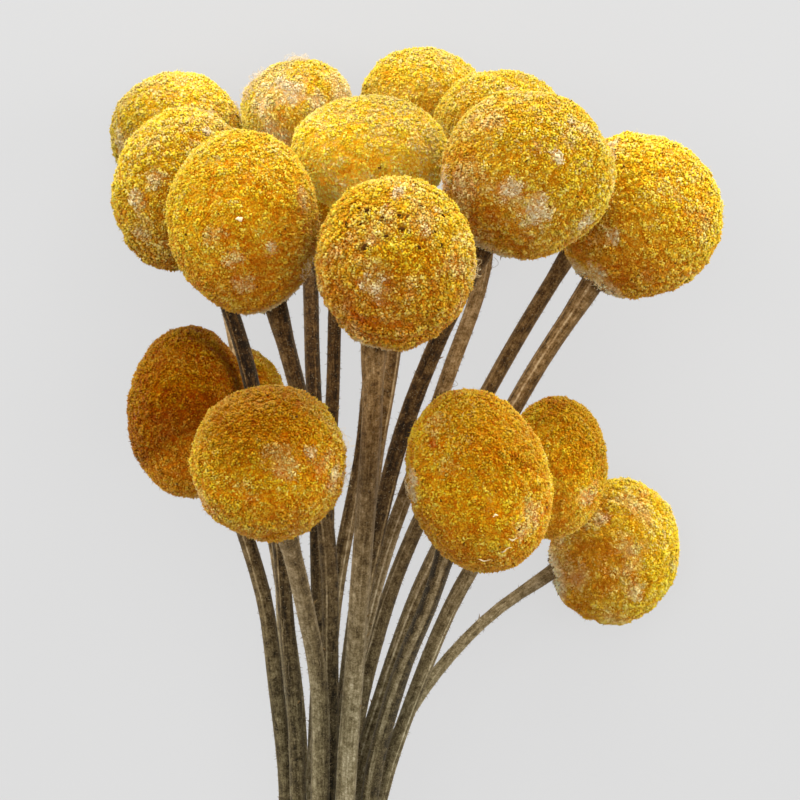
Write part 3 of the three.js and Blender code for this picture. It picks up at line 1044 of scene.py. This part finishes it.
def marked_skin(node, offsets, rise, lean, seed):
    """A head's points, with its pits and grooves sunk in, and their marks."""
    wool = HEAD_LOOKS[node][3]
    crown = facing(offsets, lean)
    ragged = noise_at(offsets, RAGGED_NOISE)
    tufts = spotted(node, offsets, WOOL_TUFTS, TUFT_REACH, ragged)
    pits = spotted(node, offsets, PITS, PIT_REACH)
    rust = spotted(node, offsets, RUST, RUST_REACH, ragged)

    waves = noise_at(offsets, WAVY_NOISE, (seed, 0, 0))
    ring = 0.5 + 0.5 * np.sin(RINGS * crown + 5 * waves)
    ringed = RINGED.get(node, 0.0) * np.clip(-1.6 * crown, 0, 1) * np.clip(0.6 + waves, 0, 1)
    rise = rise * (1 - 0.95 * ringed * (1 - ring))
    rust = np.maximum(rust, 0.45 * ringed * (1 - ring))
    sunk = PIT_DEPTH * pits + RING_DEPTH * ringed * (1 - ring)
    offsets = lengthened(offsets, -sunk)

    shift = (0, 0, seed)
    patchy = noise_at(offsets, BROAD_HAZE_NOISE, shift)
    patchy += 0.6 * noise_at(offsets, FINE_HAZE_NOISE, shift)
    haze = np.clip((patchy + 0.5 * wool) * 0.9 * wool, 0, 0.75)
    neck = np.clip((-crown - NECK_START) / NECK_FADE, 0, 1) * NECK_HAZE
    haze = np.maximum.reduce([haze, tufts, neck])
    return offsets, Marks(crown, ragged, tufts, pits, rust, haze, rise)


def set_cover(surface, shares):
    """Sets how densely things grow at each point of a surface, from 0 to 1."""
    surface.attributes["cover"].data.foreach_set("value", shares)


def head_coverings(node, surface, centre, offsets, marks, seed):
    """The florets, bristles, bracts and wool that grow on a head's skin."""
    hidden = node in HIDDEN_HEADS
    florets = covered(
        surface, f"{node}_florets", kinds=FLORETS,
        spacing=FLORET_SPACING * (HIDDEN_SPREAD if hidden else 1), crowding=FLORET_CROWDING,
        size=HIDDEN_SIZE if hidden else FLORET_SIZE, size_spread=0.3, tilt=0.4,
        sink=0.12 * MM, seed=seed, material=FLORET)

    thick = 0.7 + 0.8 * marks.ragged + 0.3 * marks.haze - marks.pits
    set_cover(surface, np.clip(thick, 0.05, 1))
    bristles = covered(
        surface, f"{node}_bristles", kinds=BRISTLES, spacing=BRISTLE_SPACING,
        crowding=1.7e6, size=1.0, size_spread=0.35, tilt=0.9, sink=0.1 * MM,
        seed=seed + 2, material=BRISTLE)

    round_seat = np.clip((-marks.crown - BRACT_START) / BRACT_FADE, 0, 1)
    set_cover(surface, np.where(marks.crown < -BARE_SEAT, 0.0, round_seat))
    bracts = covered(
        surface, f"{node}_bracts", kinds=BRACTS, spacing=0.8 * MM, crowding=1.0e6, size=1.0,
        size_spread=0.3, tilt=0.8, sink=0.2 * MM, seed=seed + 3, material=BRACT)

    woolly = 1.5 * (marks.tufts - WOOL_START) + STRAY_WOOL * marks.haze
    set_cover(surface, np.clip(woolly, 0, 1))
    rims = lengthened(offsets, FLORET_STAND) + np.array(centre)
    surface.vertices.foreach_set("co", rims.ravel())
    wool = covered(
        surface, f"{node}_wool", kinds=FIBRES, spacing=0.18 * MM, crowding=16e6, size=0.9,
        size_spread=0.3, tilt=0.4, sink=0.3 * MM, seed=seed + 1, material=WOOL)
    return [florets, bristles, bracts, wool]


def loose_parts(node, centre, offsets, pit_feet, seed):
    """The fluff, the dark specks of painted shade in the pits and the scraps of a head."""
    rng = np.random.default_rng(seed)
    scraps = [make_scrap(centre, offsets, apart, length * MM, turn, width * MM, rng)
              for apart, (length, turn, width) in spots_on(node, offsets, SCRAPS)]
    fluff, specks = Shape(), Shape()
    for apart, (count,) in spots_on(node, offsets, FLUFF):
        add_fluff(fluff, offsets, np.flatnonzero(apart < FLUFF_RADIUS), count, rng)
    for spot, radius in pit_feet:
        add_shade_speck(specks, Vector(offsets[spot]) * SPECK_LIFT, radius)
    meshes = []
    for part, material in ((fluff, WOOL), (specks, CORE)):
        part.points = [Vector(point) + centre for point in part.points]
        if part.points:
            meshes.append(part.mesh("loose", [material]))
    return meshes + scraps


def make_core(node, marks, lean, looks):
    """The closed inside of a head, under the lowest places of its skin."""
    centre, offsets, faces, _ = head_skin(node, CORE_BALL, 1, lowest=True)
    depth = CORE_DEPTH + RING_DEPTH * RINGED.get(node, 0.0)
    core = Shape()
    core.add(lengthened(offsets, -depth) + np.array(centre), faces, **looks,
             haze=marks.haze[CORE_SPOTS], rust=marks.rust[CORE_SPOTS],
             pit=marks.pits[CORE_SPOTS], **crown_and_painted_light(node, offsets, lean))
    return core.mesh(f"{node}_core", [CORE])


def make_head(node):
    pale, _, _, _, specks = HEAD_LOOKS[node]
    looks = {"pale": pale, "even": EVEN.get(node, 0.0)}
    seed = HEADS.index(node) * 17 + 5
    centre, offsets, faces, rise = head_skin(node, FINE_BALL, HEAD_ROUNDS)
    stem_top = STEM_LINES[node.replace("head", "stem")][-1]
    lean = (centre - stem_top).normalized()
    pit_feet = [(int(np.argmin(apart)), radius * MM)
                for apart, (radius,) in spots_on(node, offsets, PITS)]
    offsets, marks = marked_skin(node, offsets, rise, lean, seed)

    skin = Shape()
    skin.add(offsets + np.array(centre), faces, **looks, rise=marks.rise, specks=specks,
             pit=marks.pits, haze=marks.haze, rust=marks.rust,
             cover=np.where(marks.crown < -BARE_SEAT, 0.0, 1.0), **crown_and_painted_light(node, offsets, lean))
    surface = skin.mesh(f"{node}_skin")
    coverings = head_coverings(node, surface, centre, offsets, marks, seed)
    loose = loose_parts(node, centre, offsets, pit_feet, seed)
    return join(node, [*coverings, make_core(node, marks, lean, looks), *loose])


def join(name, meshes):
    """One finished piece of several meshes, kept above the floor."""
    things = []
    for mesh in meshes:
        thing = bpy.data.objects.new(name, mesh)
        bpy.context.scene.collection.objects.link(thing)
        things.append(thing)
    with bpy.context.temp_override(active_object=things[0], object=things[0],
                                   selected_editable_objects=things,
                                   selected_objects=things):
        bpy.ops.object.join()
    piece = things[0]
    piece.name = f"{name}_dried"
    places = np.empty(3 * len(piece.data.vertices))
    piece.data.vertices.foreach_get("co", places)
    places[2::3] = np.maximum(places[2::3], FLOOR_GAP)
    piece.data.vertices.foreach_set("co", places)
    piece.data.update()
    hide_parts(name)
    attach(piece, "root")
    return piece


# ---- Stems ----------------------------------------------------------------

# How pale each stem is near its head, from 0 (nearly black) to 1 (straw).
STEM_TONES = {
    "stem_01": 0.75, "stem_02": 0.14, "stem_03": 0.22, "stem_04": 0.22, "stem_05": 0.35,
    "stem_06": 0.42, "stem_07": 0.58, "stem_08": 0.54, "stem_09": 0.22, "stem_10": 0.38,
    "stem_11": 0.12, "stem_12": 0.58, "stem_13": 0.12, "stem_14": 0.46, "stem_15": 0.66,
    "stem_16": 0.45, "stem_17": 0.34, "stem_18": 0.22,
}
FOOT_TONE = 0.42
STRAY_THREADS = 4              # loose fibres that stand off each stem
DRY_SCALES = 3                 # small pointed scales left on each stem

STEM_LINES = {name: centreline(name) for name in STEMS}


def add_scale(shape, foot, outward, upward, length, width):
    """A small dry pointed scale that stands off a stem."""
    across = outward.cross(upward).normalized()
    tip = foot + (0.6 * outward + 0.8 * upward) * length
    corners = [foot + 1.5 * width * upward, foot + width * across, foot - width * across]
    shape.add([*corners, tip], [(0, 1, 3), (1, 2, 3), (2, 0, 3), (2, 1, 0)], 2)


def crest_facets(frames, lengths, turn_rate, rng):
    """The two facets that a stem's pale crests run along. The first is seen from above."""
    spot = 2 * len(frames) // 3
    _, side, up = frames[spot]
    crests = []
    for angle in (rng.uniform(0.25, 0.75) * math.pi, rng.uniform(0.5, 2.0) * math.pi):
        towards = Vector((math.cos(angle), 0, math.sin(angle)))
        twist = turn_rate * lengths[spot]
        turn = math.atan2(up.dot(towards), side.dot(towards)) - twist
        crests.append(round(turn / math.tau * STEM_FACETS) % STEM_FACETS)
    return crests


def add_dry_bits(shape, strands, radius, rng):
    """Dry scales and loose fibres that stand off a stem."""
    for index in range(DRY_SCALES + STRAY_THREADS):
        point, direction, side, up = strands[rng.choice(len(strands))]
        turn = rng.uniform(0, math.tau)
        away = side * math.cos(turn) + up * math.sin(turn)
        foot = point + away * radius * 0.97
        if index < DRY_SCALES:
            add_scale(shape, foot, away, direction, rng.uniform(0.7, 1.5) * MM,
                      rng.uniform(0.15, 0.3) * MM)
        else:
            reach = rng.uniform(1.2, 3.5) * MM
            add_thread(shape, foot, foot + direction * reach, away,
                       rng.uniform(0.3, 1.1) * MM, rng.uniform(0.03, 0.05) * MM, 3)


def make_stem(node):
    line = STEM_LINES[node]
    radius = stem_radius(node, line)
    number = STEMS.index(node)
    rng = np.random.default_rng(100 + number)
    into = (line[-1] - line[-2]).normalized() * STEM_INTO_HEAD
    points, lengths = smooth_line([*line, line[-1] + into], STEM_RING)
    total = lengths[-1] - STEM_INTO_HEAD
    seed = Vector((number * 5.3, 0, 0))
    greying_top = middle("head_08").y - GREYING_START
    head_tone = STEM_TONES[node]
    foot_tone = FOOT_TONE + 0.7 * (head_tone - FOOT_TONE) + rng.uniform(-0.08, 0.08)
    turn_rate = rng.uniform(-3, 3)
    frames = frames_along(points)
    crests = crest_facets(frames, lengths, turn_rate, rng)
    rings, strands = [], []
    keys = ("rib", "shade", "crest", "grey", "along", "turn_x", "turn_y", "cover")
    values = {key: [] for key in keys}
    for (direction, side, up), point, at in zip(frames, points, lengths):
        to_head = total - at
        flare = FLARE_SHARE * min(1.0, max(0.0, 1 - to_head / STEM_FLARE)) ** 2
        swell = 0.05 * noise.noise(seed + Vector((0, at * SWELL_NOISE, 0)))
        swell += 0.04 * noise.noise(seed + Vector((0, at * FINE_SWELL_NOISE, 5)))
        twist = turn_rate * at + 0.4 * noise.noise(seed + Vector((at * TWIST_NOISE, 9, 0)))
        stray = min(1.0, at / STEADY_ENDS, max(0.0, to_head) / STEADY_ENDS) * STEM_WOBBLE
        sideways = noise.noise(seed + Vector((1, 1, at * STRAY_NOISE)))
        upwards = noise.noise(seed + Vector((2, 2, at * STRAY_NOISE)))
        point = point + (side * sideways + up * upwards) * 2 * stray
        grey = min(1.0, max(0.0, (greying_top - point.y) / GREYING_LENGTH))
        tone = head_tone + (foot_tone - head_tone) * grey
        hairy = 1.0 if to_head < WOOLLY_LENGTH else 0.1
        if BARE_NECK < to_head < WOOLLY_LENGTH:
            strands.append((point, direction, side, up))
        for facet in range(STEM_FACETS):
            turn = math.tau * facet / STEM_FACETS
            rib = 0.5 + 0.5 * math.cos(STEM_RIBS * turn)
            away = side * math.cos(turn + twist) + up * math.sin(turn + twist)
            rings.append(point + away * radius * (0.95 + RIB_HEIGHT * rib + flare + swell))
            ridge = noise.noise(seed + Vector((facet, 6, at * RIDGE_NOISE)))
            column = facet // FACETS_TO_RIB
            streak = noise.noise(seed + Vector((column * 7.7, 2, at * STREAK_NOISE)))
            crest = max(0.0, min(1.0, 0.7 + 1.4 * ridge)) * (facet in crests)
            cover = hairy * (1.0 if away.z > -0.3 else 0.3)
            row = (rib - 0.5, tone + 0.28 * streak, crest, grey, at,
                   math.cos(turn) + number, math.sin(turn), cover)
            for key, value in zip(keys, row):
                values[key].append(value)
    count = len(points)
    last = (count - 1) * STEM_FACETS
    top = tuple(range(last, last + STEM_FACETS))
    shape = Shape()
    shape.add(rings, [*open_tube(count, STEM_FACETS), top], 0, **values)
    add_cut_end(shape, rings[:STEM_FACETS], points[0], (points[0] - points[1]).normalized())
    hairs = covered(
        shape.mesh(f"{node}_skin"), f"{node}_hair", kinds=HAIRS, spacing=0.2 * MM,
        crowding=2.0e6, size=1.0, size_spread=0.5, tilt=1.0, sink=0.05 * MM,
        seed=300 + number, material=HAIR)
    add_dry_bits(shape, strands, radius, rng)
    return join(node, [shape.mesh(node, [BARK, PITH, BRACT, HAIR]), hairs])


def add_cut_end(shape, rim, centre, outward):
    """Closes a stem's foot with a rim round a slightly hollow cut, all in the cut pith's finish.
    """
    start = len(shape.points)
    inner = [centre + (point - centre) * 0.8 + outward * 0.05 * MM for point in rim]
    hollow = [centre + (point - centre) * 0.4 - outward * 0.25 * MM for point in rim]
    sides = len(rim)
    shape.points.extend([*inner, *hollow, centre - outward * 0.35 * MM])
    new = []
    for side in range(sides):
        after = (side + 1) % sides
        new.append((side, start + side, start + after, after))
        new.append((start + side, start + sides + side, start + sides + after, start + after))
        new.append((start + sides + side, start + 2 * sides, start + sides + after))
    shape.faces.extend(new)
    shape.slots.extend([1] * len(new))
    for held in shape.values.values():
        held.extend([0.0] * (len(shape.points) - len(held)))


# ---- Tie ------------------------------------------------------------------

def make_tie():
    """Close turns of two-ply twine round the stems, with both ends tucked under."""
    low = sum((STEM_LINES[name][0] for name in STEMS), Vector()) / len(STEMS)
    centre = middle("tie")
    axis = (centre - low).normalized()
    side = axis.orthogonal().normalized()
    up = axis.cross(side)
    nodes = np.array([vert.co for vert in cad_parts["tie"].data.vertices]) - np.array(centre)
    along = nodes @ np.array(axis)
    width = along.max() - along.min()
    out = np.sqrt((nodes ** 2).sum(1) - along ** 2)
    middle_radius = out.min() + TWINE_PLY * 1.15
    pitch = width / TWINE_TURNS
    steps = round(TWINE_TURNS * math.tau * middle_radius / TWINE_STEP)
    line = []
    for step in range(-TUCKED_STEPS, steps + TUCKED_STEPS + 1):
        t = step / steps
        turn = TWINE_TURNS * math.tau * t
        tuck = TUCK_DEPTH * max(0, -step / TUCKED_STEPS, (step - steps) / TUCKED_STEPS)
        place = (side * math.cos(turn) + up * math.sin(turn)) * (middle_radius - tuck)
        line.append(centre + place + axis * ((t - 0.5) * (width - pitch)))
    frames = frames_along(line)
    shape = Shape()
    for ply in (0, 1):
        points = []
        for index, ((_, across, above), point) in enumerate(zip(frames, line)):
            lay = math.tau * index * TWINE_STEP / TWINE_LAY + math.pi * ply
            place = point + (across * math.cos(lay) + above * math.sin(lay)) * TWINE_PLY * 0.85
            points += ring_points(place, across, above, TWINE_PLY, TWINE_SIDES)
        shape.add(points, closed_tube(len(line), TWINE_SIDES), cover=1.0)
    mesh = shape.mesh("tie", [TWINE])
    hairs = covered(
        shape.mesh("tie_skin"), "tie_hair", kinds=HAIRS, spacing=0.25 * MM, crowding=1.2e6,
        size=1.3, size_spread=0.6, tilt=1.1, sink=0.0, seed=77, material=TWINE)
    return join("tie", [mesh, hairs])


# ---- Everything -----------------------------------------------------------

for name in HEADS:
    make_head(name)
for name in STEMS:
    make_stem(name)
make_tie()


# ---- Floor, light and camera ----------------------------------------------

FLOOR_HALF = 6.0


def make_floor():
    shape = Shape()
    corners = ((-1, -1), (1, -1), (1, 1), (-1, 1))
    shape.add([(x * FLOOR_HALF, y * FLOOR_HALF, 0) for x, y in corners], [(0, 1, 2, 3)])
    material, shader, tree = new_material("pale_floor", 0.9, Specular_IOR_Level=0.1)
    tone = tree.ramp(noise_on(tree, 1.5, 1), [(0.3, "525252"), (0.7, "545454")])
    tree.put(tone, shader.inputs["Base Color"])
    shader.inputs["Emission Color"].default_value = (1, 1, 1, 1)
    shader.inputs["Emission Strength"].default_value = 0.6
    floor = bpy.data.objects.new("floor", shape.mesh("floor", [material]))
    bpy.context.scene.collection.objects.link(floor)


def add_light(name, away, target, size, power, colour=(1, 1, 1), height=None):
    """A soft light this far away from its target, round or, with a height, a rectangle."""
    place = target + Vector(away)
    light = bpy.data.lights.new(name, "AREA")
    light.shape = "RECTANGLE" if height else "DISK"
    light.size = size
    if height:
        light.size_y = height
    light.energy = power
    light.color = colour
    lamp = bpy.data.objects.new(name, light)
    bpy.context.scene.collection.objects.link(lamp)
    lamp.location = place
    lamp.rotation_euler = (target - place).to_track_quat("-Z", "Y").to_euler()


view_middle = middle("head_08") + VIEW_FROM_HEAD_08
view_middle.z = AXIS_HEIGHT
make_floor()
add_light("key", (0.08, 0.95, 0.18), view_middle, size=1.5, height=0.36, power=18.5,
          colour=(1, 0.98, 0.95))
add_light("right", (0.9, 0.15, 0.35), view_middle, size=0.6, power=6)
add_light("left", (-0.85, 0.45, 0.3), view_middle, size=0.7, power=6)
add_light("fill", (-0.1, 0.1, 1.3), view_middle, size=1.2, power=10.5)

world = bpy.data.worlds.new("studio")
world.use_nodes = True
world.node_tree.nodes["Background"].inputs["Color"].default_value = (0.97, 0.98, 1.0, 1)
world.node_tree.nodes["Background"].inputs["Strength"].default_value = 0.6
bpy.context.scene.world = world
bpy.context.scene.view_settings.view_transform = "Standard"

camera_data = bpy.data.cameras.new("camera")
camera_data.sensor_width = 36
camera_data.lens = camera_data.sensor_width * VIEW_HEIGHT / VIEW_WIDTH
camera = bpy.data.objects.new("camera", camera_data)
bpy.context.scene.collection.objects.link(camera)
camera.location = view_middle + Vector((0, 0, VIEW_HEIGHT))
bpy.context.scene.camera = camera
